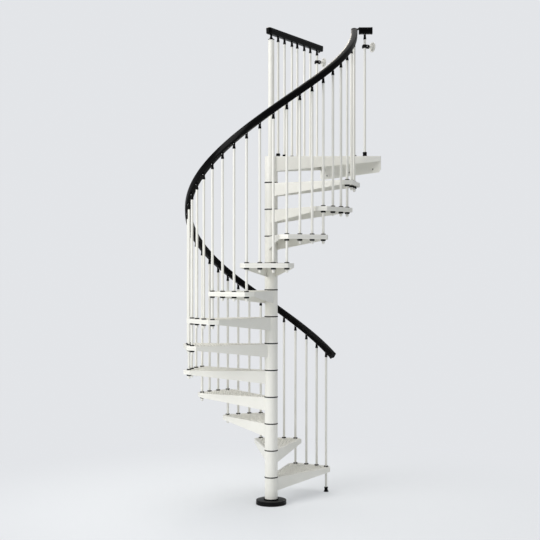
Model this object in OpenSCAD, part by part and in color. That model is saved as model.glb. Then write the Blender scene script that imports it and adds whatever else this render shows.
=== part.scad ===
// Spiral staircase of powder-coated steel with a black plastic handrail.
// Twelve folded steel treads are stacked on a central column and turn
// counter-clockwise up to a wedge-shaped landing that is bolted to a wall.
// Origin: on the floor, on the column's axis. +Z is up, +X points at the wall.

/* [Flight] */
// Height from one tread's top to the next
rise = 220; // [190:1:264]
// Height of the first tread's top above the floor
first_rise = 216; // [180:1:260]
// Turn from one tread to the next, in degrees
tread_turn = 26.04; // [21.7:0.01:31]
// Distance from the column's axis to the balusters
baluster_radius = 682; // [560:1:820]
// Thickness of the folded steel sheet
sheet = 3; // [2:0.1:4]

/* [Column] */
// Outer diameter of the hubs that stack up to form the column
hub_d = 106; // [88:1:128]
// Wall of a hub
hub_wall = 4; // [3:0.5:5]
// Diameter of the pole inside the hubs, and of the post above the landing
pole_d = 50; // [40:1:60]
// Wall of the pole and of the post
pole_wall = 3; // [2:0.5:4]
// Height of the black ring on top of each hub
ring_h = 9; // [6:0.5:12]
// How far a ring stands out past the hub
ring_lip = 2.5; // [1:0.5:4]
// Diameter of the floor disc
base_d = 250; // [200:1:300]
// Height of the floor disc
base_h = 36; // [28:1:44]
// Height of the ring between the floor disc and the first hub
base_ring_h = 9; // [6:1:12]
// Distance of the scribed line on a hub from each of its ends
scribe_inset = 18; // [12:1:24]

/* [Treads] */
// How far a tread's outer edge lies outside the balusters
edge_margin = 28; // [22:0.5:34]
// Half the width of a tread's wedge where its sides would meet the axis
tread_half_root = 30; // [24:1:34]
// How many degrees a tread's side opens beyond half the turn
side_flare = 2.6; // [1.5:0.1:4]
// Length of the cut corner, measured outwards
corner_run = 72; // [58:1:94]
// Width that the cut corner takes off each side
corner_cut = 45; // [36:1:54]
// Height of the outer edge strip
strip_h = 35; // [30:1:42]
// Depth of a tread's side flange at the hub
flange_hub_h = 108; // [90:1:130]
// Width of the lip folded in under the outer edge
lip_w = 54; // [44:1:64]

/* [Landing] */
// Distance from the circle of balusters to the wall
wall_gap = 83; // [60:1:236]
// Angle from +X to each side of the landing, in degrees
landing_half_angle = 30; // [27:0.5:33]
// How far a landing edge lies outside its radial line
landing_edge_offset = 30.6; // [26:0.1:36]
// Depth of the landing's side flanges at the hub
landing_flange_hub_h = 122; // [100:1:146]
// Depth of the landing's side flanges at the wall
landing_flange_wall_h = 43; // [36:1:52]
// Height of the plate that is bolted to the wall
wall_plate_h = 132; // [110:1:158]
// Thickness of the plate that is bolted to the wall
wall_plate_t = 5; // [4:0.5:6]
// Diameter of the wall plate's bolt holes
wall_bolt_d = 16; // [12:0.5:18]
// Distance between neighbouring bolt holes of the wall plate
wall_bolt_pitch = 360; // [300:1:400]
// Depth of the bolt holes below the landing's top
wall_bolt_drop = 100; // [84:1:104]

/* [Balusters] */
// Outer diameter of a baluster
baluster_d = 20; // [17:0.5:24]
// Wall of a baluster tube
baluster_wall = 2; // [1:0.5:3]
// Radial gap between a baluster and what it passes through
baluster_fit = 0.3; // [0.1:0.1:0.6]
// Width of a washer's rim around its baluster on top of a tread
upper_washer_rim = 8.5; // [6.5:0.5:10]
// Height of the washer on top of a tread
upper_washer_h = 8; // [6:0.5:10]
// Width of a washer's rim around its baluster below a tread
lower_washer_rim = 10; // [8:0.5:12]
// Height of the washer below a tread
lower_washer_h = 13; // [10:0.5:16]
// Height of the domed cap on a baluster's lower end
end_cap_h = 26; // [20:0.5:32]
// Height of the foot of the first baluster, on the floor
floor_foot_h = 41; // [34:1:50]
// Height of the foot of a landing baluster
landing_foot_h = 35; // [28:1:42]

/* [Handrail] */
// Width of the handrail
rail_w = 52; // [44:1:62]
// Height of the handrail, square to its run
rail_h = 56; // [46:1:66]
// Radius of the handrail's crowned top
rail_crown_r = 40; // [34:1:80]
// Height of the handrail's underside above a tread's first baluster hole
rail_clear = 994; // [830:1:1190]
// Height of the landing's handrails above the upper end of the stair's
landing_rail_lift = 10; // [6:1:14]
// Height of the bracket between a baluster and the handrail
bracket_h = 44; // [36:1:52]
// Turn by which the handrail runs on past the first baluster, in degrees
rail_overrun = 7; // [5:0.5:9]
// Gap between the wall and the wall end of the landing's back handrail
rail_wall_gap = 20; // [12:1:30]
// Gap between the wall and the wall end of the landing's front handrail
front_rail_wall_gap = 33; // [24:1:40]

/* [Wall fixings] */
// Distance from the wall to the landing's last back baluster
wall_baluster_gap = 90; // [76:1:108]
// Distance from the wall to the landing's front baluster
front_baluster_gap = 99; // [84:1:116]
// Diameter of the round plate on the wall
rosette_d = 82; // [70:1:96]
// Thickness of the round plate on the wall
rosette_t = 6; // [5:0.5:8]
// Distance between the round plate's two screw holes
rosette_pitch = 54; // [46:1:62]
// Diameter of the round plate's screw holes
rosette_hole_d = 7; // [5:0.5:8]
// Height of the clamp above the landing
clamp_z = 911; // [760:1:960]
// Height of the clamp around its baluster
clamp_h = 26; // [21:1:32]
// How far the middle of the clamp is below the middle of its arm
clamp_drop = 8; // [6:0.5:10]
// Sideways distance from the baluster to the clamp's arm
clamp_shift = 33; // [30:1:36]
// Diameter of the clamp's arm
clamp_arm_d = 34; // [30:1:38]
// Diameter of the boss on the round plate, which carries the arm
boss_d = 28; // [24:1:32]
// Length of that boss
boss_l = 34; // [28:1:40]

/* [Hidden] */
$fn = 48;
tread_count = 12;
balusters_per_tread = 3;
baluster_count = tread_count * balusters_per_tread;

white = [0.90, 0.89, 0.85];
black = [0.09, 0.09, 0.10];

// The last stair baluster stands beside the landing's edge, and the flight is
// counted back from it.
last_angle = -landing_half_angle - 0.52;
start_angle = last_angle + 360 - tread_count * tread_turn;
baluster_turn = tread_turn / balusters_per_tread;

wall_distance = baluster_radius + wall_gap;
hub_r = hub_d / 2;
bore_r = hub_r - hub_wall;
landing_top = tread_top(tread_count + 1);
hole_r = baluster_d / 2 + baluster_fit;
edge_seat = 0.3;
rail_seat = 0.4;

tread_reach = baluster_radius + edge_margin;
flare = tread_turn / 2 + side_flare;
// Trays start inside the hub's wall.
root_r = hub_r - 0.35 * hub_wall;
root_u = line_at_radius(tread_half_root, tan(flare), root_r);
corner_u = tread_reach - corner_run;
tread_outline = let (root_v = tread_half_root + root_u * tan(flare),
                     corner_v = tread_half_root + corner_u * tan(flare))
    [[root_u, -root_v], [corner_u, -corner_v], [tread_reach, corner_cut - corner_v],
     [tread_reach, corner_v - corner_cut], [corner_u, corner_v], [root_u, root_v]];

// A landing edge runs along a radial line, moved outwards by its offset.
function landing_edge_v(u) = landing_edge_offset / cos(landing_half_angle) + u * tan(landing_half_angle);
landing_reach = wall_distance - wall_plate_t;
landing_root_u = line_at_radius(landing_edge_v(0), tan(landing_half_angle), root_r);

// Landing balusters: distances from the column's axis along the radial lines.
wall_baluster_r = (wall_distance - wall_baluster_gap) / cos(landing_half_angle);
front_baluster_r = (wall_distance - front_baluster_gap) / cos(landing_half_angle);
first_back_r = 111;
back_spacing = [0, 0.157, 0.341, 0.477, 0.659, 0.818, 1];
back_radii = [for (f = back_spacing) first_back_r + f * (wall_baluster_r - first_back_r)];
// Where a landing handrail ends, so that its corner keeps a gap to the wall.
function rail_end_r(gap) = (wall_distance - gap - rail_w / 2 * sin(landing_half_angle)) / cos(landing_half_angle);
back_rail_end_r = rail_end_r(rail_wall_gap);
front_rail_end_r = rail_end_r(front_rail_wall_gap);
landing_rail_z = landing_top + rail_clear + landing_rail_lift;
front_rail_start_r = baluster_radius + rail_w / 2 + 13;
back_rail_start_r = 30;
wall_baluster_top = landing_rail_z - bracket_h;

// The handrail climbs one rise for each tread's turn.
climb = rise / (tread_turn * PI / 180);
slope = atan(climb / baluster_radius);
rail_steps_per_turn = 9;

function tread_top(n) = first_rise + (n - 1) * rise;
function baluster_angle(j) = start_angle + j * baluster_turn;
function rail_base(j) = first_rise + rail_clear + rise * j / balusters_per_tread;
function polar(r, a) = [r * cos(a), r * sin(a)];
function unit(v) = v / norm(v);
function toward(p, q, d) = p + unit(q - p) * d;
// Where the line v = h + t * u meets the circle of radius r, outwards of the axis.
function line_at_radius(h, t, r) = (sqrt(h * h * t * t + (1 + t * t) * (r * r - h * h)) - h * t) / (1 + t * t);
function left_normal(p, q) = let (d = unit(q - p)) [-d[1], d[0]];
function line_cross(p, d, q, e) = p + d * (cross(q - p, e) / cross(d, e));
// A closed outline, listed counter-clockwise, with every edge moved inwards.
function inset(pts, t) = let (n = len(pts)) [for (i = [0:n - 1])
    let (a = pts[(i + n - 1) % n], b = pts[i], c = pts[(i + 1) % n])
    line_cross(a + left_normal(a, b) * t, b - a, b + left_normal(b, c) * t, c - b)];

module ring(r_out, r_in, h) {
    difference() {
        cylinder(h = h, r = r_out);
        translate([0, 0, -1]) cylinder(h = h + 2, r = r_in);
    }
}

// A turned piece: its radii and heights, listed from the axis outwards.
module turned(pts) {
    rotate_extrude() polygon(pts);
}

// A hub: a tube with a fine scribed line near each end.
module hub(h) {
    difference() {
        cylinder(h = h, r = hub_r);
        for (z = [scribe_inset, h - scribe_inset])
            translate([0, 0, z - 0.5]) ring(hub_r + 1, hub_r - 0.6, 1);
    }
}

// An upright flange of sheet. Its outer face runs from p to q, and its depth
// changes evenly from depth_p to depth_q.
module flange(p, q, depth_p, depth_q) {
    run = norm(q - p);
    translate(p) rotate(atan2(q[1] - p[1], q[0] - p[0])) translate([0, sheet, 0])
        rotate([90, 0, 0]) linear_extrude(sheet)
            polygon([[0, 0], [0, -depth_p], [run, -depth_q], [run, 0]]);
}

// A band along a tread's outer edge and cut corners, from height z up. It lies
// between two insets of the outline.
module edge_band(from, to, z, h) {
    translate([0, 0, z]) linear_extrude(h) intersection() {
        difference() {
            polygon(inset(tread_outline, from));
            polygon(inset(tread_outline, to));
        }
        translate([corner_u, -tread_reach]) square([corner_run + 5, 2 * tread_reach]);
    }
}

module tread_body() {
    o = tread_outline;
    translate([0, 0, -sheet]) linear_extrude(sheet) polygon(inset(o, sheet / 2));
    flange(o[0], o[1], flange_hub_h, strip_h - 1);
    flange(o[4], o[5], strip_h - 1, flange_hub_h);
    // The strip that closes the outer edge, and the lip folded in under it.
    edge_band(0, sheet, -strip_h, strip_h);
    edge_band(sheet / 2, lip_w, -strip_h, sheet);
}

// One tread with its hub, in place. Its top lies at tread_top(n).
module tread(n) {
    hub_h = n == 1 ? first_rise - base_h - base_ring_h : rise - ring_h;
    mid = start_angle + (n - 0.5) * tread_turn;
    color(white) translate([0, 0, tread_top(n)]) rotate(mid) difference() {
        union() {
            translate([0, 0, -hub_h]) hub(hub_h);
            tread_body();
        }
        translate([0, 0, -hub_h - 1]) cylinder(h = hub_h + 2, r = bore_r);
        for (k = [0:balusters_per_tread])
            rotate((k - balusters_per_tread / 2) * baluster_turn)
                translate([baluster_radius, 0, -strip_h - 1]) cylinder(h = strip_h + 2, r = hole_r);
        // The fine groove half way up the outer edge strip.
        edge_band(-2, 0.8, -strip_h / 2 - 0.6, 1.2);
    }
}

module tread_01() { tread(1); }
module tread_02() { tread(2); }
module tread_03() { tread(3); }
module tread_04() { tread(4); }
module tread_05() { tread(5); }
module tread_06() { tread(6); }
module tread_07() { tread(7); }
module tread_08() { tread(8); }
module tread_09() { tread(9); }
module tread_10() { tread(10); }
module tread_11() { tread(11); }
module tread_12() { tread(12); }

module base_disc() {
    r = base_d / 2;
    color(black) turned([[0, 0], [r, 0], [r, base_h / 2 - 1], [r - 2, base_h / 2 - 1],
        [r - 2, base_h / 2], [r - 1, base_h / 2], [r - 1, base_h - 3], [r - 4, base_h], [0, base_h]]);
}

module base_ring() {
    color(black) translate([0, 0, base_h]) ring(hub_r + 7.5, pole_d / 2 + edge_seat, base_ring_h);
}

module central_pole() {
    top = landing_top - 6;
    color(white) translate([0, 0, base_h]) ring(pole_d / 2, pole_d / 2 - pole_wall, top - base_h);
}

module hub_rings() {
    color(black) for (n = [1:tread_count])
        translate([0, 0, tread_top(n)]) ring(hub_r + ring_lip, pole_d / 2 + edge_seat, ring_h);
}

module landing() {
    hub_h = rise - ring_h;
    past_wall = landing_reach + 10;
    o = [for (c = [[landing_root_u, -1], [past_wall, -1], [past_wall, 1], [landing_root_u, 1]])
        [c[0], c[1] * landing_edge_v(c[0])]];
    color(white) translate([0, 0, landing_top]) difference() {
        union() {
            translate([0, 0, -hub_h]) hub(hub_h);
            translate([0, 0, -sheet]) linear_extrude(sheet) polygon(inset(o, sheet / 2));
            flange(o[0], o[1], landing_flange_hub_h, landing_flange_wall_h);
            flange(o[2], o[3], landing_flange_wall_h, landing_flange_hub_h);
        }
        // Everything ends square against the wall plate.
        translate([landing_reach, -wall_distance, -hub_h]) cube([100, 2 * wall_distance, 2 * hub_h]);
        // The hub is closed at the top, under the post.
        translate([0, 0, -hub_h - 1]) cylinder(h = hub_h - 5, r = bore_r);
        translate(polar(baluster_radius, last_angle)) translate([0, 0, -sheet - 1]) cylinder(h = sheet + 2, r = hole_r);
    }
}

// The plate that carries the landing on the wall, with its lower corners cut.
module landing_wall_plate() {
    half = landing_edge_v(landing_reach);
    h = wall_plate_h;
    color(white) translate([landing_reach, 0, landing_top]) rotate([90, 0, 90]) difference() {
        linear_extrude(wall_plate_t)
            polygon([[-half, 0], [-half, 24 - h], [30 - half, -h], [half - 30, -h], [half, 24 - h], [half, 0]]);
        for (y = [-1:1])
            translate([y * wall_bolt_pitch, -wall_bolt_drop, -1]) cylinder(h = wall_plate_t + 2, d = wall_bolt_d);
    }
}

module newel_post() {
    color(white) translate([0, 0, landing_top])
        ring(pole_d / 2, pole_d / 2 - pole_wall, wall_baluster_top - landing_top);
}

// A flared cap that carries the handrail on the post.
module newel_cap() {
    r = pole_d / 2;
    color(black) translate([0, 0, wall_baluster_top])
        turned([[0, 0], [r + 1, 0], [r + 1, 4], [r - 6, 9], [r - 13, 16], [r - 16, 24], [r - 16, bracket_h], [0, bracket_h]]);
}

// A baluster tube from z0 to z1 at a point in plan.
module baluster(at, z0, z1) {
    translate([at[0], at[1], z0]) ring(baluster_d / 2, baluster_d / 2 - baluster_wall, z1 - z0);
}

// A stair baluster stands on the tread whose outer edge it passes last.
module stair_baluster(j) {
    foot = tread_top(ceil(j / balusters_per_tread)) - strip_h - lower_washer_h;
    baluster(polar(baluster_radius, baluster_angle(j)), foot, rail_base(j) - bracket_h);
}

module first_baluster() {
    color(white) baluster(polar(baluster_radius, start_angle), 4, rail_base(0) - bracket_h);
}

module first_baluster_foot() {
    r = baluster_d / 2;
    h = floor_foot_h;
    color(black) translate(polar(baluster_radius, start_angle)) difference() {
        turned([[0, 0], [r + 11, 0], [r + 11, 4], [r + 5, 0.35 * h], [r + 4, 0.55 * h], [r + 6, 0.75 * h], [r + 7, h], [0, h]]);
        translate([0, 0, 4]) cylinder(h = h, r = hole_r);
    }
}

module stair_balusters_lower() {
    color(white) for (j = [1:12]) stair_baluster(j);
}

module stair_balusters_middle() {
    color(white) for (j = [13:24]) stair_baluster(j);
}

module stair_balusters_upper() {
    color(white) for (j = [25:baluster_count]) stair_baluster(j);
}

module washer(rim, h) {
    r = baluster_d / 2 + rim;
    b = 1.2;
    rotate_extrude() polygon([[hole_r, 0], [r - b, 0], [r, b], [r, h - b], [r - b, h], [hole_r, h]]);
}

module upper_washers() {
    color(black) {
        for (n = [1:tread_count], k = [0:balusters_per_tread])
            translate(concat(polar(baluster_radius, baluster_angle(balusters_per_tread * (n - 1) + k)), [tread_top(n)]))
                washer(upper_washer_rim, upper_washer_h);
        translate(concat(polar(baluster_radius, last_angle), [landing_top])) washer(upper_washer_rim, upper_washer_h);
    }
}

module lower_washers() {
    color(black) for (n = [1:tread_count], k = [0:balusters_per_tread])
        translate(concat(polar(baluster_radius, baluster_angle(balusters_per_tread * (n - 1) + k)),
                         [tread_top(n) - strip_h - lower_washer_h]))
            washer(lower_washer_rim, lower_washer_h);
}

// Domed caps close the tubes that end below a tread.
module baluster_end_caps() {
    r = baluster_d / 2 + 1.5;
    color(white) for (j = [1:baluster_count])
        translate(concat(polar(baluster_radius, baluster_angle(j)),
                         [tread_top(ceil(j / balusters_per_tread)) - strip_h - lower_washer_h - end_cap_h]))
            rotate_extrude() union() {
                translate([0, r]) square([r, end_cap_h - r]);
                intersection() {
                    translate([0, r]) circle(r);
                    square([r, r]);
                }
            }
}

// A bracket that tapers up to the handrail's underside, which climbs at tilt.
module bracket(tilt) {
    r = baluster_d / 2 + 1;
    difference() {
        turned([[0, 0], [r, 0], [r, 10], [r - 3.5, 22], [r - 3.5, bracket_h + 12], [0, bracket_h + 12]]);
        translate([0, 0, bracket_h - rail_seat]) rotate([0, -tilt, 0]) translate([-50, -50, 0]) cube([100, 100, 60]);
    }
}

module stair_rail_brackets() {
    color(black) for (j = [0:baluster_count])
        translate(concat(polar(baluster_radius, baluster_angle(j)), [rail_base(j) - bracket_h]))
            rotate(baluster_angle(j) + 90) bracket(slope);
}

// The handrail's section: a crowned top, softly rounded edges and a flat underside.
function arc(c, r, a0, a1, n) = [for (i = [0:n]) c + polar(r, a0 + (a1 - a0) * i / n)];
rail_edge_r = 5;
rail_low_r = 10;
rail_section = let (x = rail_w / 2, y = rail_h / 2, crown = rail_crown_r, edge = rail_edge_r, low = rail_low_r,
                    tilt = acos((x - edge) / (crown - edge)), edge_y = y - crown + (crown - edge) * sin(tilt),
                    over = arc([0, y - crown], crown, tilt, 180 - tilt, 8)) concat(
    arc([x - edge, edge_y], edge, 0, tilt, 2), [for (i = [1:7]) over[i]],
    arc([edge - x, edge_y], edge, 180 - tilt, 180, 2),
    arc([low - x, low - y], low, 180, 270, 3), arc([x - low, low - y], low, 270, 360, 3));

// A point of the section, carried along the helix and square to it.
function on_helix(p, a) =
    let (z = rail_base(0) + climb * (a - start_angle) * PI / 180 + rail_h / 2 / cos(slope))
    [(baluster_radius + p[0]) * cos(a) + p[1] * sin(slope) * sin(a),
     (baluster_radius + p[0]) * sin(a) - p[1] * sin(slope) * cos(a),
     z + p[1] * cos(slope)];

module stair_handrail() {
    m = len(rail_section);
    a0 = start_angle - rail_overrun;
    a1 = last_angle + 360;
    n = round((a1 - a0) / tread_turn * rail_steps_per_turn);
    points = [for (i = [0:n], p = rail_section) on_helix(p, a0 + (a1 - a0) * i / n)];
    sides = [for (i = [0:n - 1], k = [0:m - 1]) let (a = i * m + k, b = i * m + (k + 1) % m)
        each [[a, b, b + m], [a, b + m, a + m]]];
    color(black) polyhedron(points, concat(sides, [[for (k = [m - 1:-1:0]) k], [for (k = [0:m - 1]) n * m + k]]));
}

// A straight run of the same section along +X.
module straight_rail(run) {
    rotate([90, 0, 90]) linear_extrude(run) polygon([for (p = rail_section) p + [0, rail_h / 2]]);
}

module landing_handrail_back() {
    color(black) rotate(landing_half_angle) translate([0, 0, landing_rail_z]) union() {
        translate([-back_rail_start_r, 0, 0]) straight_rail(back_rail_end_r + back_rail_start_r);
        translate([-back_rail_start_r, 0, 0]) rotate_extrude() intersection() {
            polygon([for (p = rail_section) p + [0, rail_h / 2]]);
            square([rail_w, rail_h]);
        }
    }
}

module landing_handrail_front() {
    color(black) rotate(-landing_half_angle) translate([front_rail_start_r, 0, landing_rail_z])
        straight_rail(front_rail_end_r - front_rail_start_r);
}

// A bar that ties the upper end of the stair's handrail to the front handrail.
module handrail_link() {
    from = baluster_radius + rail_w / 2 + edge_seat;
    color(black) rotate(-landing_half_angle) translate([from, -rail_w / 2, landing_rail_z + rail_h - 26])
        cube([front_rail_start_r - from, 18, 16]);
}

// A peg under the handrail's lower end, and one at the wall end of the back run.
module handrail_end_nubs() {
    peg_h = 14;
    a = start_angle - rail_overrun + 2.2;
    color(black) {
        translate(concat(polar(baluster_radius, a), [rail_base(0) + climb * (a - start_angle) * PI / 180 - peg_h]))
            rotate(a + 90) difference() {
                cylinder(h = peg_h + 12, d = 13);
                translate([0, 0, peg_h - rail_seat]) rotate([0, -slope, 0]) translate([-50, -50, 0]) cube([100, 100, 60]);
            }
        translate(concat(polar(back_rail_end_r - 28, landing_half_angle), [landing_rail_z - peg_h])) cylinder(h = peg_h, d = 13);
    }
}

module landing_balusters_back() {
    color(white) for (r = back_radii)
        baluster(polar(r, landing_half_angle), landing_top + 4, wall_baluster_top);
}

module landing_baluster_front() {
    color(white) baluster(polar(front_baluster_r, -landing_half_angle), landing_top + 4, wall_baluster_top);
}

module landing_foot() {
    r = baluster_d / 2;
    h = landing_foot_h;
    difference() {
        turned([[0, 0], [r + 7, 0], [r + 7, 0.4 * h], [r + 5.5, 0.5 * h], [r + 7, 0.6 * h], [r + 7, h - 2], [r + 5, h], [0, h]]);
        translate([0, 0, 4]) cylinder(h = h, r = hole_r);
    }
}

module landing_baluster_feet() {
    color(black) {
        for (r = back_radii) translate(concat(polar(r, landing_half_angle), [landing_top])) landing_foot();
        translate(concat(polar(front_baluster_r, -landing_half_angle), [landing_top])) landing_foot();
    }
}

module landing_rail_brackets() {
    color(black) {
        for (r = back_radii) translate(concat(polar(r, landing_half_angle), [wall_baluster_top])) bracket(0);
        translate(concat(polar(front_baluster_r, -landing_half_angle), [wall_baluster_top])) bracket(0);
    }
}

// Where the wall fixing of a landing side meets its baluster: 1 at the back, -1 in front.
function clamp_at(side) = polar(side > 0 ? wall_baluster_r : front_baluster_r, side * landing_half_angle);

// A clamp around a landing baluster, with an arm beside it that meets the boss.
module wall_clamp(side) {
    at = clamp_at(side);
    arm_x = 8;
    arm_l = wall_distance - rosette_t - boss_l - at[0] - arm_x;
    color(black) translate([at[0], at[1], landing_top + clamp_z]) difference() {
        union() {
            translate([0, 0, -clamp_drop - clamp_h / 2]) cylinder(h = clamp_h, r = baluster_d / 2 + 6);
            translate([-6, 0, 1 - clamp_drop - clamp_h / 2]) cube([26, clamp_shift, clamp_h - 2]);
            translate([arm_x, clamp_shift, 0]) rotate([0, 90, 0]) cylinder(h = arm_l, d = clamp_arm_d);
        }
        translate([0, 0, -clamp_h]) cylinder(h = 2 * clamp_h, r = hole_r);
    }
}

module wall_clamp_back() { wall_clamp(1); }
module wall_clamp_front() { wall_clamp(-1); }

// The round plate that is screwed to the wall, with its boss.
module wall_rosette(side) {
    r = rosette_d / 2;
    b = boss_d / 2;
    color(white) translate([wall_distance, clamp_at(side)[1] + clamp_shift, landing_top + clamp_z]) rotate([0, -90, 0]) difference() {
        turned([[0, 0], [r, 0], [r, rosette_t - 2], [r - 3, rosette_t], [b, rosette_t], [b, rosette_t + boss_l], [0, rosette_t + boss_l]]);
        for (s = [-1, 1]) translate([s * rosette_pitch / 2, 0, -1]) cylinder(h = rosette_t + 2, d = rosette_hole_d);
    }
}

module wall_rosette_back() { wall_rosette(1); }
module wall_rosette_front() { wall_rosette(-1); }

base_disc();
base_ring();
central_pole();
hub_rings();
tread_01();
tread_02();
tread_03();
tread_04();
tread_05();
tread_06();
tread_07();
tread_08();
tread_09();
tread_10();
tread_11();
tread_12();
landing();
landing_wall_plate();
newel_post();
newel_cap();
first_baluster();
first_baluster_foot();
stair_balusters_lower();
stair_balusters_middle();
stair_balusters_upper();
upper_washers();
lower_washers();
baluster_end_caps();
stair_rail_brackets();
stair_handrail();
handrail_end_nubs();
landing_balusters_back();
landing_baluster_front();
landing_baluster_feet();
landing_rail_brackets();
landing_handrail_back();
landing_handrail_front();
handrail_link();
wall_clamp_back();
wall_clamp_front();
wall_rosette_back();
wall_rosette_front();
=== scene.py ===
import math

import bmesh
import bpy
from mathutils import Matrix, Vector


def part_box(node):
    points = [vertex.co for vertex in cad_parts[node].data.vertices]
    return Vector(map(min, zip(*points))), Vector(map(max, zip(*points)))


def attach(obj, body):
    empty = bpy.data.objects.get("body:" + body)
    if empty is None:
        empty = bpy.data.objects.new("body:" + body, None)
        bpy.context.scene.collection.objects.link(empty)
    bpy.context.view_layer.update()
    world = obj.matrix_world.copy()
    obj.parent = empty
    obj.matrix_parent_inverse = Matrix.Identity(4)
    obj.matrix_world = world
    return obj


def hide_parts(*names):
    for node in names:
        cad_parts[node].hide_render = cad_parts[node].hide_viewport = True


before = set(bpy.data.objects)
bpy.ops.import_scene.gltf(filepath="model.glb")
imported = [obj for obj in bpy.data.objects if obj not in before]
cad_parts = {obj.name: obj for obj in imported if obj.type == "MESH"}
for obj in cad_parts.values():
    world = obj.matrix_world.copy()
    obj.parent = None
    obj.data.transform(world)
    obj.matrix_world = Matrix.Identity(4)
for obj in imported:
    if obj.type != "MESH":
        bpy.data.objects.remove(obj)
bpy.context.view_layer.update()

# ---------------------------------------------------------------------------
# The studio: a level camera at eye height, a pale floor that fades into a pale
# surround, wide soft lamps on the left and overhead, a low one that lifts the
# shade at the foot, and a small high one that glints on the handrail.

SURROUND = (0.77, 0.785, 0.81, 1)
FLOOR_R = 60

camera = bpy.data.objects.new("camera", bpy.data.cameras.new("camera"))
camera.data.sensor_width = 36
camera.data.lens = 72.57
camera.data.shift_x = -0.0002
camera.data.shift_y = -0.0049
camera.data.clip_end = 200
camera.location = (-4.3024, -7.8562, 1.9446)
camera.rotation_euler = (math.pi / 2, 0, math.radians(-28.65))
bpy.context.scene.collection.objects.link(camera)
bpy.context.scene.camera = camera
bpy.context.scene.view_settings.view_transform = "Standard"


def node(nodes, kind, **values):
    """A new node with values set on its inputs, named with _ for a space."""
    made = nodes.new(kind)
    for socket, value in values.items():
        made.inputs[socket.replace("_", " ")].default_value = value
    return made


def mixed(nodes, links, factor, first, second):
    """The shader that blends two others by a factor."""
    mix = node(nodes, "ShaderNodeMixShader")
    links.new(factor, mix.inputs["Fac"])
    links.new(first.outputs[0], mix.inputs[1])
    links.new(second.outputs[0], mix.inputs[2])
    return mix.outputs[0]


world = bpy.data.worlds.new("surround")
bpy.context.scene.world = world
world.use_nodes = True
nodes, links = world.node_tree.nodes, world.node_tree.links
nodes.clear()
seen = node(nodes, "ShaderNodeBackground", Color=SURROUND)
lit = node(nodes, "ShaderNodeBackground", Color=(0.96, 0.98, 1.0, 1), Strength=0.49)
path = node(nodes, "ShaderNodeLightPath")
links.new(mixed(nodes, links, path.outputs["Is Camera Ray"], lit, seen),
          node(nodes, "ShaderNodeOutputWorld").inputs["Surface"])


def lamp(name, at, toward, size, watts, color):
    """A square soft lamp that the camera doesn't see."""
    light = bpy.data.lights.new(name, "AREA")
    light.size, light.energy, light.color = size, watts, color
    obj = bpy.data.objects.new(name, light)
    obj.location = at
    obj.rotation_euler = (Vector(toward) - Vector(at)).to_track_quat("-Z", "Y").to_euler()
    obj.visible_camera = False
    bpy.context.scene.collection.objects.link(obj)


lamp("key_lamp", (-9.3, -1.2, 5.4), (0, 0, 1.7), 6.0, 570, (1, 0.99, 0.97))
lamp("ceiling_lamp", (0.3, 1.0, 7.5), (0, 0, 1.5), 7.0, 200, (1, 0.98, 0.95))
lamp("low_fill", (-1.75, -3.05, 0.7), (0, 0, 0.4), 1.6, 6, (1, 1, 1))
lamp("window_lamp", (1.65, 4.1, 6.75), (0.4, -0.5, 3.4), 1.1, 42, (1, 0.93, 0.82))

floor_bm = bmesh.new()
bmesh.ops.create_circle(floor_bm, cap_ends=True, segments=96, radius=FLOOR_R)
floor_mesh = bpy.data.meshes.new("floor")
floor_bm.to_mesh(floor_mesh)
floor_bm.free()
floor = bpy.data.objects.new("floor", floor_mesh)
bpy.context.scene.collection.objects.link(floor)

# The floor's own colour fades into the surround's further out, but only as the camera sees it, so
# the light that the floor gives back stays real.
# Near the stair the camera still sees the floor partly as a glow of the surround's colour, which is
# painted light that lightens the stair's shadow there.
floor_paint = bpy.data.materials.new("floor_paint")
floor_paint.use_nodes = True
nodes, links = floor_paint.node_tree.nodes, floor_paint.node_tree.links
nodes.clear()
matt = node(nodes, "ShaderNodeBsdfDiffuse", Color=(0.87, 0.895, 0.92, 1))
# The surround's colour as a glow on the floor: painted light for camera rays
far = node(nodes, "ShaderNodeEmission", Color=SURROUND)
distance = node(nodes, "ShaderNodeVectorMath")
distance.operation = "LENGTH"
links.new(node(nodes, "ShaderNodeTexCoord").outputs["Object"], distance.inputs[0])
# Even beside the stair 42 per cent of the seen floor is this glow, a painted lightening of the
# stair's shadow
fade = node(nodes, "ShaderNodeMapRange", From_Min=1.0, From_Max=3.2, To_Min=0.42)
fade.interpolation_type = "SMOOTHSTEP"
links.new(distance.outputs["Value"], fade.inputs["Value"])
path = node(nodes, "ShaderNodeLightPath")
# The share of painted glow that the camera sees on the floor
seen_glow_share = node(nodes, "ShaderNodeMath")
seen_glow_share.operation = "MULTIPLY"
links.new(fade.outputs["Result"], seen_glow_share.inputs[0])
links.new(path.outputs["Is Camera Ray"], seen_glow_share.inputs[1])
links.new(mixed(nodes, links, seen_glow_share.outputs[0], matt, far),
          node(nodes, "ShaderNodeOutputMaterial").inputs["Surface"])
floor_mesh.materials.append(floor_paint)


# ---------------------------------------------------------------------------
# The floor disc: a heavy steel disc in two tiers, painted satin black and
# bolted down from below. The column's rings and hubs are stacked on it.

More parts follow.
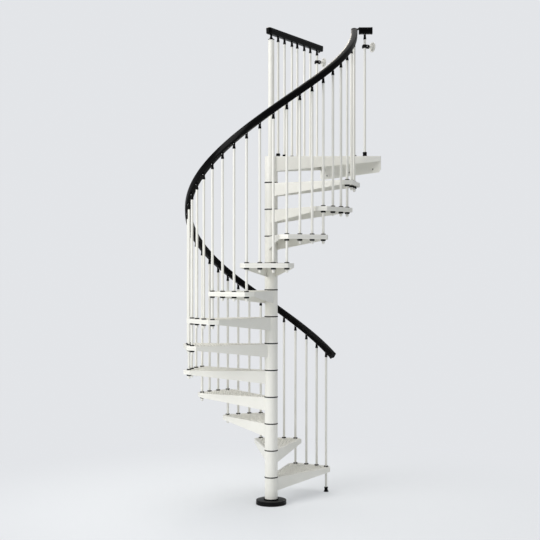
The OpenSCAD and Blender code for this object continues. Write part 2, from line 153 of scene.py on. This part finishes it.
def paint(name, colors, rough, grain, bump, gloss=0.5):
    """A finish whose colour wanders between two near tones over hand-sized
    patches, and whose roughness and surface have a fine grain (per metre)."""
    mat = bpy.data.materials.new(name)
    mat.use_nodes = True
    nodes, links = mat.node_tree.nodes, mat.node_tree.links
    shader = nodes["Principled BSDF"]
    shader.inputs["Specular IOR Level"].default_value = gloss
    place = node(nodes, "ShaderNodeTexCoord").outputs["Object"]

    def noise(scale, detail):
        made = node(nodes, "ShaderNodeTexNoise", Scale=scale, Detail=detail)
        links.new(place, made.inputs["Vector"])
        return made.outputs["Fac"]

    tones = node(nodes, "ShaderNodeValToRGB")
    for stop, position, color in zip(tones.color_ramp.elements, (0.3, 0.7), colors):
        stop.position, stop.color = position, (*color, 1)
    links.new(noise(7, 3), tones.inputs["Fac"])
    links.new(tones.outputs["Color"], shader.inputs["Base Color"])

    sheen = node(nodes, "ShaderNodeMapRange", To_Min=rough[0], To_Max=rough[1])
    links.new(noise(60, 4), sheen.inputs["Value"])
    links.new(sheen.outputs["Result"], shader.inputs["Roughness"])

    peel = node(nodes, "ShaderNodeBump", Strength=bump, Distance=0.0003)
    links.new(noise(grain, 2), peel.inputs["Height"])
    links.new(peel.outputs["Normal"], shader.inputs["Normal"])
    return mat


def whole_turn(bm, steps):
    """Turns a profile all the way round the Z axis."""
    bmesh.ops.spin(bm, geom=bm.verts[:] + bm.edges[:], cent=(0, 0, 0), axis=(0, 0, 1),
                   dvec=(0, 0, 0), angle=math.tau, steps=steps, use_merge=True)
    bmesh.ops.remove_doubles(bm, verts=bm.verts, dist=1e-6)
    bmesh.ops.recalc_face_normals(bm, faces=bm.faces)
    return bm


def turned(profile, segments, bored=False):
    """A shape turned about Z from its (radius, height) points. A bored one's
    profile is closed, and leaves a hole along the axis."""
    bm = bmesh.new()
    line = [bm.verts.new((r, 0, z)) for r, z in profile]
    for ends in zip(line, line[1:]):
        bm.edges.new(ends)
    if bored:
        bm.edges.new((line[-1], line[0]))
    return whole_turn(bm, segments)


def bevelled(bm, edges, radius, segments):
    bmesh.ops.bevel(bm, geom=edges, offset=radius, offset_type="OFFSET", segments=segments,
                    profile=0.5, affect="EDGES", material=-1, clamp_overlap=True)
    return bm


def turns_by(edge, degrees):
    """Whether the faces beside an edge turn by more than so many degrees."""
    return edge.is_manifold and edge.calc_face_angle(0) > math.radians(degrees)


def soften(bm, radius, least=30):
    """Rounds every edge that turns by more than the least angle."""
    return bevelled(bm, [e for e in bm.edges if turns_by(e, least)], radius, segments=2)


def shift(x, y, z):
    return Matrix.Translation((x, y, z))


def up(z):
    return shift(0, 0, z)


def spin(angle, axis="Z"):
    return Matrix.Rotation(angle, 4, axis)


def placed(bm, matrix):
    bmesh.ops.transform(bm, matrix=matrix, verts=bm.verts)
    return bm


def piece(name, bm, mat, slot, *stands_for):
    """Makes the object, rounds its shading below 40 degrees, hangs it on the root
    body, and hides the frame's nodes that it stands for."""
    mesh = bpy.data.meshes.new(name)
    bm.to_mesh(mesh)
    bm.free()
    mesh.materials.append(mat)
    mesh.shade_smooth()
    mesh.set_sharp_from_angle(angle=math.radians(40))
    obj = bpy.data.objects.new(name, mesh)
    bpy.context.scene.collection.objects.link(obj)
    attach(obj, "root")
    if stands_for:
        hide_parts(*stands_for)
    return obj


satin_black = paint("satin_black_paint", ((0.003, 0.003, 0.0033), (0.006, 0.006, 0.0064)),
                    rough=(0.3, 0.42), grain=700, bump=0.12, gloss=0.12)
disc = turned([(0, 0), (0.125, 0), (0.125, 0.017), (0.1225, 0.0175), (0.1225, 0.0185),
               (0.1245, 0.019), (0.1245, 0.0335), (0.1215, 0.036), (0.0, 0.036)], 96)
piece("floor_disc", soften(disc, 0.0007), satin_black, "black_nylon", "base_disc")

# ---------------------------------------------------------------------------
# The nylon rings: moulded spacers, one on the floor disc and one on top of
# each hub. They take up small errors in the rise and keep steel off steel.

TREADS = [f"tread_{n:02d}" for n in range(1, 13)]
tread_tops = [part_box(name)[1].z for name in TREADS]


def repeated(unit, places):
    """A copy of the unit at each place, in one bmesh."""
    mesh = bpy.data.meshes.new("unit")
    unit.to_mesh(mesh)
    unit.free()
    whole = bmesh.new()
    for place in places:
        mesh_there = mesh.copy()
        mesh_there.transform(place)
        whole.from_mesh(mesh_there)
        bpy.data.meshes.remove(mesh_there)
    bpy.data.meshes.remove(mesh)
    return whole


nylon = paint("black_nylon", ((0.002, 0.002, 0.0022), (0.004, 0.004, 0.0043)),
              rough=(0.4, 0.52), grain=1400, bump=0.18, gloss=0.08)
foot_ring = turned([(0.0256, 0), (0.0605, 0), (0.0605, 0.0065), (0.0585, 0.009),
                    (0.0256, 0.009)], 72, bored=True)
piece("column_foot_ring", placed(soften(foot_ring, 0.0008), up(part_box("base_ring")[0].z)),
      nylon, "black_nylon", "base_ring")

hub_ring = turned([(0.0254, 0), (0.0545, 0), (0.0555, 0.0045), (0.0545, 0.009),
                   (0.0254, 0.009)], 72, bored=True)
piece("column_rings", repeated(soften(hub_ring, 0.0005), [up(z) for z in tread_tops]),
      nylon, "black_nylon", "hub_rings")

# ---------------------------------------------------------------------------
# The pole: a steel tube that stands in the floor disc and runs up inside the
# stacked hubs. A nut drawn tight at the top holds them all together.

powder_coat = paint("white_powder_coat", ((0.80, 0.79, 0.735), (0.825, 0.815, 0.765)),
                    rough=(0.3, 0.4), grain=850, bump=0.10)


def coat(node_name, mat, edge=0):
    """Gives a node of the frame its finish, and a rounded edge if asked."""
    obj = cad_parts[node_name]
    for i in range(len(obj.material_slots)):
        obj.material_slots[i].material = mat
    if not obj.material_slots:
        obj.data.materials.append(mat)
    if edge:
        weld = obj.modifiers.new("welded", "WELD")
        weld.merge_threshold = 0.00002
        rounded = obj.modifiers.new("edges", "BEVEL")
        rounded.width, rounded.segments = edge, 2
        rounded.limit_method, rounded.angle_limit = "ANGLE", math.radians(40)


coat("central_pole", powder_coat)

# ---------------------------------------------------------------------------
# The treads: each is one sheet of 3 mm steel, folded down along both sides
# and round the outer edge, with a lip turned in below. Its tapered sides are
# welded to a hub, and the top is pressed with short raised bars for grip.

FIRST_TURN, TREAD_TURN, LAST_TURN = 17.0, 26.04, -30.52  # degrees about Z
SHEET, FOLD_R = 0.003, 0.004
HUB_R, HUB_H, HUB_WALL = 0.053, 0.211, 0.004
NEAR_HUB = 0.05  # whatever lies nearer the axis meets the hub
LINE_START = 0.235  # the rolled line on the sides runs out from here
BAR_PITCH, BAR_BASE = 0.0272, 0.0007
TREAD_TAPER = math.tan(math.radians(TREAD_TURN / 2 + 2.6))
STRIP_H = 0.035  # the height of a tread's outer edge


def hub_skin(height):
    """The outside of a hub, upwards, with a fine turned line near each end."""
    line, half, depth = 0.018, 0.0005, 0.0006
    return [(HUB_R, -height), (HUB_R, line - height - half), (HUB_R - depth, line - height),
            (HUB_R, line - height + half), (HUB_R, -line - half), (HUB_R - depth, -line),
            (HUB_R, -line + half), (HUB_R, 0)]


def hub(height):
    bore = HUB_R - HUB_WALL
    return turned(hub_skin(height) + [(bore, 0), (bore, -height)], 72, bored=True)


def walled(bm):
    """Gives a folded skin its sheet thickness, on the inside."""
    mesh = bpy.data.meshes.new("skin")
    bm.to_mesh(mesh)
    bm.free()
    obj = bpy.data.objects.new("skin", mesh)
    bpy.context.scene.collection.objects.link(obj)
    sheet = obj.modifiers.new("sheet", "SOLIDIFY")
    sheet.thickness, sheet.offset, sheet.use_even_offset = SHEET, -1, True
    solid = bmesh.new()
    solid.from_mesh(obj.evaluated_get(bpy.context.evaluated_depsgraph_get()).to_mesh())
    bpy.data.objects.remove(obj)
    bpy.data.meshes.remove(mesh)
    return solid


def joined(*parts):
    """Several bmeshes as one."""
    whole = bmesh.new()
    for part in parts:
        mesh = bpy.data.meshes.new("part")
        part.to_mesh(mesh)
        part.free()
        whole.from_mesh(mesh)
        bpy.data.meshes.remove(mesh)
    return whole


def cut(bm, point, normal, **clear):
    """Cuts along a plane, and clears one side of it if asked."""
    return bmesh.ops.bisect_plane(bm, geom=bm.verts[:] + bm.edges[:] + bm.faces[:], dist=1e-7,
                                  plane_co=point, plane_no=normal, **clear)["geom_cut"]


def inset(bm, faces, by, depth=0):
    bmesh.ops.inset_region(bm, faces=faces, thickness=by, depth=depth, use_even_offset=True)


def scored(bm, faces):
    """Sinks narrow faces into a fine line."""
    inset(bm, faces, 0.0002, -0.0009)


def only_verts(geom):
    return [g for g in geom if isinstance(g, bmesh.types.BMVert)]


def fold_down(bm, edges, hub_drop, drop):
    """Folds walls down from the plate's edges, deepest at the hub."""
    for v in only_verts(bmesh.ops.extrude_edge_only(bm, edges=edges)["geom"]):
        v.co.z = -hub_drop if v.co.x < NEAR_HUB else -drop


def pressed_field(bm, top, margin, near, far=None):
    """Presses a groove round a plate's margin, and the field inside it down."""
    inset(bm, [top], margin)
    for v in top.verts:
        if v.co.x < 0.15:
            v.co += Vector((1, math.copysign(near[1], v.co.y), 0)) * (near[0] - v.co.x)
        elif far and v.co.x > far[0]:
            v.co.x -= far[1]
    for run, depth in ((0.0025, -0.003), (0.003, 0), (0.0025, 0.0015)):
        inset(bm, [top], run, depth)


def grip_bars(inside, x0, x1, y1):
    """Short raised bars in staggered rows, each row slanting the other way."""
    row, places = 0, []
    x = x0
    while x < x1:
        y = -y1 + (BAR_PITCH / 2 if row % 2 else 0)
        while y < y1:
            if inside(x, y):
                places.append(shift(x, y, BAR_BASE) @ spin((-1) ** row * math.pi / 4))
            y += BAR_PITCH
        x += BAR_PITCH / 2
        row += 1
    bar = bmesh.new()
    bmesh.ops.create_cone(bar, segments=10, radius1=0.5, radius2=0.34, depth=1, cap_ends=True)
    under = [f for f in bar.faces if f.normal.z < -0.9]
    bmesh.ops.delete(bar, geom=under, context="FACES_ONLY")
    length, width, height = 0.018, 0.008, 0.0048
    return repeated(placed(bar, Matrix.Diagonal((length, width, height, 1))), places)


def tread_half(x):
    return 0.030 + x * TREAD_TAPER


def on_tread(x, y):
    return 0.098 < x < 0.650 and abs(y) < tread_half(x) - 0.034


def tread_tray():
    root, corner, reach, cut_back = 0.0334, 0.638, 0.710, 0.045
    half = tread_half(corner)
    plan = [(root, -tread_half(root)), (corner, -half), (reach, cut_back - half),
            (reach, half - cut_back), (corner, half), (root, tread_half(root))]
    bm = bmesh.new()
    top = bm.faces.new([bm.verts.new((x, y, 0)) for x, y in plan])
    folds = [e for e in bm.edges if any(v.co.x > NEAR_HUB for v in e.verts)]
    fold_down(bm, folds, 0.108, STRIP_H)

    # The lip under the strip: a frame inside the plan, kept at the outer end.
    lip = bmesh.new()
    whole_plan = lip.faces.new([lip.verts.new((x, y, -STRIP_H)) for x, y in reversed(plan)])
    inset(lip, [whole_plan], 0.054)
    lip.faces.remove(whole_plan)
    cut(lip, (corner, 0, 0), (1, 0, 0), clear_inner=True)
    pressed_field(bm, top, 0.022, near=(0.078, TREAD_TAPER), far=(0.67, 0.023))
    bm = joined(bm, lip)
    bmesh.ops.remove_doubles(bm, verts=bm.verts, dist=1e-5)

    def in_groove(edge):
        return max(abs(v.co.z) for v in edge.verts) < 0.002 and not turns_by(edge, 50)

    bevelled(bm, [e for e in bm.edges if turns_by(e, 20) and not in_groove(e)], FOLD_R, 3)

    # A fine rolled line half way up the strip runs back along the sides, and
    # a joint crosses each side just behind the outer corner.
    line_z, joint_x = (-0.0169, -0.0181), (corner - 0.008, corner - 0.0068)
    for z in line_z:
        cut(bm, (0, 0, z), (0, 0, 1))
    for x in (LINE_START, *joint_x):
        cut(bm, (x, 0, 0), (1, 0, 0))
    upright = [(f, f.calc_center_median()) for f in bm.faces if abs(f.normal.z) < 0.3]
    line = [f for f, mid in upright if line_z[1] < mid.z < line_z[0] and mid.x > LINE_START]
    joint = [f for f, mid in upright if joint_x[0] < mid.x < joint_x[1] and f not in line]
    scored(bm, line + joint)
    return walled(bm)


for n, (name, top) in enumerate(zip(TREADS, tread_tops), 1):
    tall = top - 0.045 if n == 1 else HUB_H
    tread = joined(hub(tall), tread_tray(), grip_bars(on_tread, 0.1, 0.66, 0.21))
    turn = spin(math.radians(FIRST_TURN + (n - 0.5) * TREAD_TURN))
    piece(f"folded_{name}", placed(tread, up(top) @ turn),
          powder_coat, "white_powder_coat", name)

# ---------------------------------------------------------------------------
# The landing: the thirteenth rise, a wedge of the same folded sheet with a
# hub of its own. It ends square against an upright plate bolted to the wall.

landing_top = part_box("landing")[1].z
WALL_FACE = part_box("landing_wall_plate")[1].x
PLATE_THICK = 0.005
LANDING_HALF_TURN = math.pi / 6


def landing_half(x):
    return 0.0306 / math.cos(LANDING_HALF_TURN) + x * math.tan(LANDING_HALF_TURN)


def on_landing(x, y):
    return 0.11 < x < WALL_FACE - 0.05 and abs(y) < landing_half(x) - 0.046


def landing_tray():
    root, end = 0.0207, WALL_FACE - PLATE_THICK
    bm = bmesh.new()
    top = bm.faces.new([bm.verts.new((x, s * landing_half(x), 0)) for x, s in
                        ((root, -1), (end, -1), (end, 1), (root, 1))])
    sides = [e for e in bm.edges if e.verts[0].co.y * e.verts[1].co.y > 0]
    fold_down(bm, sides, 0.122, 0.043)
    pressed_field(bm, top, 0.030, near=(0.085, math.tan(LANDING_HALF_TURN)))
    bevelled(bm, [e for e in bm.edges if turns_by(e, 60)], FOLD_R, 3)
    line_z = (-0.0216, -0.0228)
    for z in line_z:
        cut(bm, (0, 0, z), (0, 0, 1))
    cut(bm, (LINE_START, 0, 0), (1, 0, 0))
    upright = [(f, f.calc_center_median()) for f in bm.faces if abs(f.normal.z) < 0.3]
    scored(bm, [f for f, mid in upright if line_z[1] < mid.z < line_z[0] and mid.x > LINE_START])
    return walled(bm)


bore, lid = HUB_R - HUB_WALL, 0.006
landing_hub = turned([(0, -lid), (0, 0), *reversed(hub_skin(HUB_H)), (bore, -HUB_H),
                      (bore, -lid)], 72)
landing = joined(landing_hub, landing_tray(), grip_bars(on_landing, 0.11, 0.76, 0.46))
piece("folded_landing", placed(landing, up(landing_top)),
      powder_coat, "white_powder_coat", "landing")
coat("landing_wall_plate", powder_coat, 0.001)

# ---------------------------------------------------------------------------
# The wall bolts: three black socket-head anchors in a row. They are sunk in
# holes through the wall plate and carry the landing.

black_steel = paint("blackened_steel", ((0.02, 0.02, 0.021), (0.03, 0.03, 0.031)),
                    rough=(0.25, 0.4), grain=1200, bump=0.1)
bolt = turned([(0, 0), (0.0076, 0), (0.0076, 0.0035), (0.0068, 0.0042), (0.0045, 0.0042),
               (0.0045, 0.0012), (0, 0.0012)], 24)
out_of_wall = spin(-math.pi / 2, "Y")
bolt_places = [shift(WALL_FACE, y, landing_top - 0.1) @ out_of_wall for y in (-0.36, 0, 0.36)]
piece("wall_bolts", repeated(soften(bolt, 0.0003), bolt_places), black_steel, "black_nylon")

# ---------------------------------------------------------------------------
# The newel: the pole's upper length, a tube on the landing's hub. A moulded
# cap like a trumpet carries the handrail over it.

coat("newel_post", powder_coat, 0.0006)
rail_foot_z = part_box("newel_cap")[0].z
cap = turned([(0, 0), (0.0262, 0), (0.0262, 0.0042), (0.0235, 0.0052), (0.0185, 0.0088),
              (0.0142, 0.0130), (0.0112, 0.0178), (0.0096, 0.0235), (0.009, 0.030),
              (0.009, 0.036), (0.0096, 0.0405), (0.0112, 0.0438), (0, 0.0438)], 48)
piece("newel_trumpet_cap", placed(soften(cap, 0.0005, 50), up(rail_foot_z)),
      nylon, "black_nylon", "newel_cap")

# ---------------------------------------------------------------------------
# The balusters: drawn steel tubes 20 mm across. Three stand in each tread,
# and the one at a joint runs through two treads and ties them together.

for name in ("first_baluster", "stair_balusters_lower", "stair_balusters_middle",
             "stair_balusters_upper", "landing_balusters_back", "landing_baluster_front"):
    coat(name, powder_coat)

# ---------------------------------------------------------------------------
# The baluster washers: nylon collars above and below each tread, and domed
# caps on the tube ends that show below.

RING_R, TUBE_FIT = 0.682, 0.0103
PER_TREAD = 3
BALUSTERS = PER_TREAD * len(TREADS) + 1
spacing = math.radians(TREAD_TURN / PER_TREAD)


def on_ring(j, z):
    """A place on the circle of balusters at the j-th one, counted from the
    floor, with +X outwards."""
    return spin(math.radians(FIRST_TURN) + j * spacing) @ shift(RING_R, 0, z)


seats = [(PER_TREAD * n + k, top) for n, top in enumerate(tread_tops) for k in range(PER_TREAD + 1)]
at_landing = spin(math.radians(LAST_TURN)) @ shift(RING_R, 0, landing_top)

upper = turned([(TUBE_FIT, 0), (0.0185, 0), (0.0185, 0.0034), (0.0179, 0.004),
                (0.0185, 0.0046), (0.0185, 0.008), (TUBE_FIT, 0.008)], 32, bored=True)
upper_places = [on_ring(j, z) for j, z in seats] + [at_landing]
piece("washers_above", repeated(soften(upper, 0.0007), upper_places),
      nylon, "black_nylon", "upper_washers")

lower = turned([(TUBE_FIT, 0), (0.0187, 0), (0.0187, 0.005), (0.020, 0.0062),
                (0.020, 0.013), (TUBE_FIT, 0.013)], 32, bored=True)
piece("washers_below", repeated(soften(lower, 0.0007), [on_ring(j, z - 0.048) for j, z in seats]),
      nylon, "black_nylon", "lower_washers")

dome = turned([(0, 0), (0.0044, 0.0009), (0.0081, 0.0034), (0.0106, 0.0071),
               (0.0115, 0.0115), (0.0115, 0.026), (0, 0.026)], 32)
tube_ends = [on_ring(j, tread_tops[math.ceil(j / PER_TREAD) - 1] - 0.074)
             for j in range(1, BALUSTERS)]
piece("domed_end_caps", repeated(soften(dome, 0.0004, 50), tube_ends),
      powder_coat, "white_powder_coat", "baluster_end_caps")

# ---------------------------------------------------------------------------
# The baluster feet: a waisted moulding under the long first baluster, and
# two-step ones under the landing's balusters.

floor_foot = turned([(0, 0), (0.021, 0), (0.021, 0.004), (0.0182, 0.008), (0.0158, 0.0140),
                     (0.0142, 0.0215), (0.0148, 0.0285), (0.0164, 0.033), (0.0168, 0.041),
                     (TUBE_FIT, 0.041), (TUBE_FIT, 0.038), (0, 0.038)], 40)
piece("floor_foot", placed(soften(floor_foot, 0.0006, 35), on_ring(0, 0)),
      nylon, "black_nylon", "first_baluster_foot")

BACK_FIRST, BACK_LAST, FRONT_R = 0.111, 0.7794, 0.7690
BACK_RADII = [BACK_FIRST + share * (BACK_LAST - BACK_FIRST)
              for share in (0, 0.157, 0.341, 0.477, 0.659, 0.818, 1)]


def on_landing_line(side, r, z):
    """A place on the landing's back (+1) or front (-1) line of balusters."""
    return spin(side * LANDING_HALF_TURN) @ shift(r, 0, z)


landing_foot = turned([(0, 0), (0.017, 0), (0.017, 0.0142), (0.0155, 0.0168),
                       (0.0155, 0.0182), (0.017, 0.0208), (0.017, 0.033), (0.015, 0.035),
                       (TUBE_FIT, 0.035), (TUBE_FIT, 0.032), (0, 0.032)], 32)
standing = [(1, r) for r in BACK_RADII] + [(-1, FRONT_R)]
foot_places = [on_landing_line(side, r, landing_top) for side, r in standing]
piece("landing_feet", repeated(soften(landing_foot, 0.0006), foot_places),
      nylon, "black_nylon", "landing_baluster_feet")

# ---------------------------------------------------------------------------
# The handrail: an extruded black profile with a crowned top, soft shoulders and
# a groove along each side, bent to the helix and pinned to the brackets.

RISE = tread_tops[1] - tread_tops[0]
CLIMB = RISE / math.radians(TREAD_TURN)
SLOPE = math.atan(CLIMB / RING_R)
RAIL_H = 0.056
RAIL_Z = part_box("landing_handrail_back")[0].z
BACK_END, FRONT_START, FRONT_END = 0.8452, 0.7210, 0.8302
NOSE_X = -0.030
rail_base = tread_tops[0] + 0.994


def rail_profile():
    """The profile's outline, across X and up Z, from its underside at 0."""
    side = [(0.0160, 0), (0.0210, 0.0014), (0.0243, 0.005), (0.0253, 0.0100),
            (0.0256, 0.0218), (0.0240, 0.0226), (0.0240, 0.0242), (0.0260, 0.0250),
            (0.0260, 0.0440), (0.02547, 0.04624), (0.0240, 0.0480), (0.0200, 0.0506),
            (0.01627, 0.0525), (0.01236, 0.0540), (0.00832, 0.0551), (0.00418, 0.0558),
            (0, RAIL_H)]
    left = [(-x, z) for x, z in reversed(side) if x]
    bm = bmesh.new()
    loop = [bm.verts.new((x, 0, z)) for x, z in side + left]
    for pair in zip(loop, loop[1:] + loop[:1]):
        bm.edges.new(pair)
    return bm


def end_closed(bm):
    """Closes both ends of an extruded profile with a slightly domed cap."""
    bmesh.ops.holes_fill(bm, edges=[e for e in bm.edges if e.is_boundary])
    caps = [f for f in bm.faces if len(f.verts) > 8]
    bmesh.ops.recalc_face_normals(bm, faces=bm.faces)
    inset(bm, caps, 0.0012, -0.0005)
    inset(bm, caps, 0.0006, 0.0012)
    return bm


def grow(by):
    """Scales a profile about its middle."""
    middle = up(RAIL_H / 2)
    return middle @ Matrix.Diagonal((by, 1, by, 1)) @ middle.inverted()


def helical_rail(a0, a1, steps, grown=1):
    """The rail between two angles, square to the climb at its ends."""
    bm = placed(rail_profile(), grow(grown))
    mid_z = rail_base + CLIMB * (a0 - math.radians(FIRST_TURN)) + RAIL_H / 2 / math.cos(SLOPE)
    placed(bm, spin(a0) @ shift(RING_R, 0, mid_z) @ spin(SLOPE, "X") @ up(-RAIL_H / 2))
    bmesh.ops.spin(bm, geom=bm.verts[:] + bm.edges[:], cent=(0, 0, 0), axis=(0, 0, 1),
                   dvec=(0, 0, CLIMB * (a1 - a0) / steps), angle=a1 - a0, steps=steps)
    bmesh.ops.remove_doubles(bm, verts=bm.verts, dist=1e-6)
    return end_closed(bm)


def straight_rail(x0, x1, grown=1):
    bm = placed(rail_profile(), grow(grown))
    placed(bm, spin(math.pi / 2) @ shift(0, -x0, 0))
    run = bmesh.ops.extrude_edge_only(bm, edges=bm.edges[:])["geom"]
    bmesh.ops.translate(bm, verts=only_verts(run), vec=(x1 - x0, 0, 0))
    return end_closed(bm)


def nose():
    """A half-round end, the profile's half swept round the post."""
    bm = rail_profile()
    bmesh.ops.delete(bm, geom=[v for v in bm.verts if v.co.x < -1e-6], context="VERTS")
    foot = bm.verts.new((0, 0, 0))
    bm.verts.ensure_lookup_table()
    lowest = min((v for v in bm.verts if v is not foot), key=lambda v: v.co.z)
    bm.edges.new((foot, lowest))
    return placed(whole_turn(bm, 48), shift(NOSE_X, 0, 0))


back_line = on_landing_line(1, 0, RAIL_Z)
front_line = on_landing_line(-1, 0, RAIL_Z)
rail_black = paint("black_rail_plastic", ((0.0012, 0.0012, 0.0013), (0.0025, 0.0025, 0.0027)),
                   rough=(0.2, 0.27), grain=1100, bump=0.05, gloss=0.07)
rail_from, rail_to = math.radians(FIRST_TURN - 7), math.radians(LAST_TURN + 360)
piece("helical_handrail", helical_rail(rail_from, rail_to, 150),
      rail_black, "black_handrail", "stair_handrail")
piece("landing_rail_back", placed(joined(straight_rail(NOSE_X, BACK_END), nose()), back_line),
      rail_black, "black_handrail", "landing_handrail_back")
piece("landing_rail_front", placed(straight_rail(FRONT_START, FRONT_END), front_line),
      rail_black, "black_handrail", "landing_handrail_front")

# ---------------------------------------------------------------------------
# The rail ends: thin nylon caps pushed over the handrails' open ends, and small
# nylon pegs below them. A steel link ties the helix to the landing's front rail.

CAP, CAP_TURN, OVER = 0.011, 0.0132, 1.018
PROUD = 0.0004
end_caps = joined(
    helical_rail(rail_from - PROUD, rail_from + CAP_TURN, 2, OVER),
    helical_rail(rail_to - CAP_TURN, rail_to + PROUD, 2, OVER),
    placed(straight_rail(BACK_END - CAP, BACK_END + PROUD, OVER), back_line),
    placed(straight_rail(FRONT_START - PROUD, FRONT_START + CAP, OVER), front_line),
    placed(straight_rail(FRONT_END - CAP, FRONT_END + PROUD, OVER), front_line))
piece("rail_end_caps", end_caps, nylon, "black_nylon")
coat("handrail_link", black_steel, 0.0012)
coat("handrail_end_nubs", nylon, 0.0008)

# ---------------------------------------------------------------------------
# The rail brackets: a moulded socket on each baluster that narrows to a neck
# under the handrail. A small plated cross-screw holds each to the rail.


def bracket(tilt):
    """A bracket whose top is cut to lie along the rail above it."""
    bm = turned([(0, 0), (0.0118, 0), (0.0118, 0.013), (0.0110, 0.0155), (0.0101, 0.0175),
                 (0.0097, 0.024), (0.0097, 0.056), (0, 0.056)], 28)
    soften(bm, 0.0005, 35)
    top = cut(bm, (0, 0, 0.0452), (0, -math.sin(tilt), math.cos(tilt)), clear_outer=True)
    bmesh.ops.holes_fill(bm, edges=[g for g in top if isinstance(g, bmesh.types.BMEdge)])
    return bm


def cross_screw():
    """A domed head on each side of the neck."""
    head = turned([(0, 0.0112), (0.0018, 0.0109), (0.0031, 0.0101), (0.0037, 0.0088),
                   (0.0037, 0.0078), (0, 0.0078)], 20)
    return repeated(head, [spin(side * math.pi / 2, "Y") for side in (1, -1)])


stair_feet = [on_ring(j, rail_base + RISE * j / PER_TREAD - 0.044) for j in range(BALUSTERS)]
landing_feet = [on_landing_line(side, r, rail_foot_z) for side, r in standing]
piece("stair_brackets", repeated(bracket(SLOPE), stair_feet),
      nylon, "black_nylon", "stair_rail_brackets")
piece("landing_brackets", repeated(bracket(0), landing_feet),
      nylon, "black_nylon", "landing_rail_brackets")

plated = paint("zinc_plating", ((0.58, 0.58, 0.57), (0.66, 0.66, 0.65)),
               rough=(0.24, 0.36), grain=900, bump=0.08)
plated.node_tree.nodes["Principled BSDF"].inputs["Metallic"].default_value = 1
screw_up = up(0.039)
screw_places = [place @ screw_up for place in stair_feet]
screw_places += [place @ screw_up @ spin(math.pi / 2) for place in landing_feet]
piece("bracket_screws", repeated(cross_screw(), screw_places), plated, None)

# ---------------------------------------------------------------------------
# The wall fixings: near the wall each landing rail's last baluster is held by
# a moulded clamp, whose arm meets a round plate screwed to the wall.

ROSETTE_THICK = 0.006
SCREW_UP = 0.027
clamp_bolt_places, plate_screw_places = [], []
for side, hand, r in (("back", 1, BACK_RADII[-1]), ("front", -1, FRONT_R)):
    coat(f"wall_clamp_{side}", nylon, 0.0012)
    coat(f"wall_rosette_{side}", powder_coat, 0.0006)
    low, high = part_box(f"wall_rosette_{side}")
    mid = (low + high) / 2
    tube = on_landing_line(hand, r, mid.z).translation
    clamp_bolt_places.append(Matrix.Translation(tube + Vector((0.0336, 0.016, 0)))
                             @ spin(math.pi / 2, "X"))
    for z in (mid.z - SCREW_UP, mid.z + SCREW_UP):
        plate_screw_places.append(shift(WALL_FACE - ROSETTE_THICK, mid.y, z) @ out_of_wall)

clamp_bolt = turned([(0, 0.0034), (0.003, 0.003), (0.0044, 0.0018), (0.0048, 0.0),
                     (0.0048, -0.002), (0, -0.002)], 24)
piece("clamp_bolts", repeated(clamp_bolt, clamp_bolt_places), plated, None)
plate_screw = turned([(0, 0.0018), (0.0022, 0.0016), (0.0044, 0.0006), (0.0052, -0.0006),
                      (0, -0.0006)], 20)
piece("plate_screws", repeated(plate_screw, plate_screw_places), black_steel, "black_nylon")
